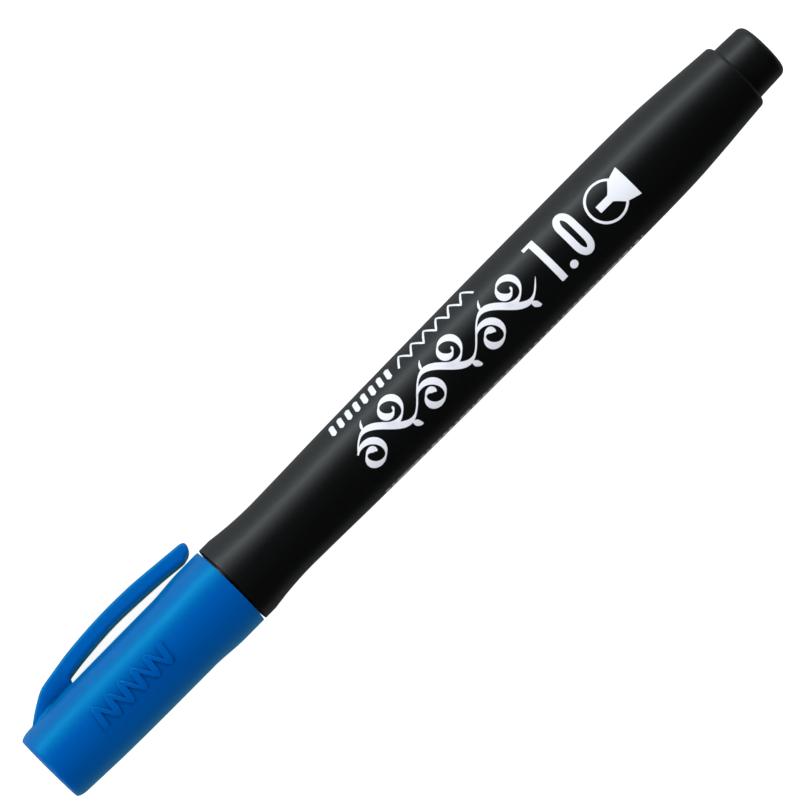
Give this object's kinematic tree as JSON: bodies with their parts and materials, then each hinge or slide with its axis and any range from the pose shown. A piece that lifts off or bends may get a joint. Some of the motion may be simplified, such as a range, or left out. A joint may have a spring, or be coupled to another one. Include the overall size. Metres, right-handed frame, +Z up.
{
  "type": "calligraphy marker",
  "caption": "Capped fibre-tip calligraphy marker with a flared barrel, a chisel nib and a pull-off cap whose springy clip holds it in a pocket.",
  "frame": {"origin": "on the surface that the pen lies on, under the centre of the pen's bounding box", "axes": "+X runs along the pen's axis from the cap's closed end to the tail plug, +Z is up, and the clip leans to the +Y side, 30 degrees below the horizontal"},
  "size_m": [0.14, 0.016, 0.0132],
  "materials": {
    "cap_plastic": "satin blue moulded plastic",
    "barrel_plastic": "matt black moulded plastic with white print",
    "section_plastic": "smooth black moulded plastic",
    "liner_plastic": "natural translucent plastic",
    "nib_fibre": "sintered fibre stained with ink",
    "reservoir_fibre": "fibre bundle soaked with ink",
    "film": "thin clear film"
  },
  "bodies": {
    "barrel": {"barrel": "barrel_plastic", "tail_plug": "barrel_plastic", "front_section": "section_plastic", "nib_sleeve": "liner_plastic", "nib": "nib_fibre", "reservoir_core": "reservoir_fibre", "reservoir_film": "film"},
    "cap": {"cap_shell": "cap_plastic", "inner_cap": "liner_plastic"},
    "clip": {"clip": "cap_plastic"}
  },
  "joints": [
    {"name": "cap_pull", "type": "slide", "parent": "barrel", "child": "cap", "axis": [-1, 0, 0], "range_m": [0, 0.045]},
    {"name": "clip_flex", "type": "hinge", "parent": "cap", "child": "clip", "pos_m": [-0.06385, 0.00478, 0.00302], "axis": [0, 0.5, 0.866], "range_deg": [0, 6], "stiffness_Nm_per_rad": 0.45}
  ]
}
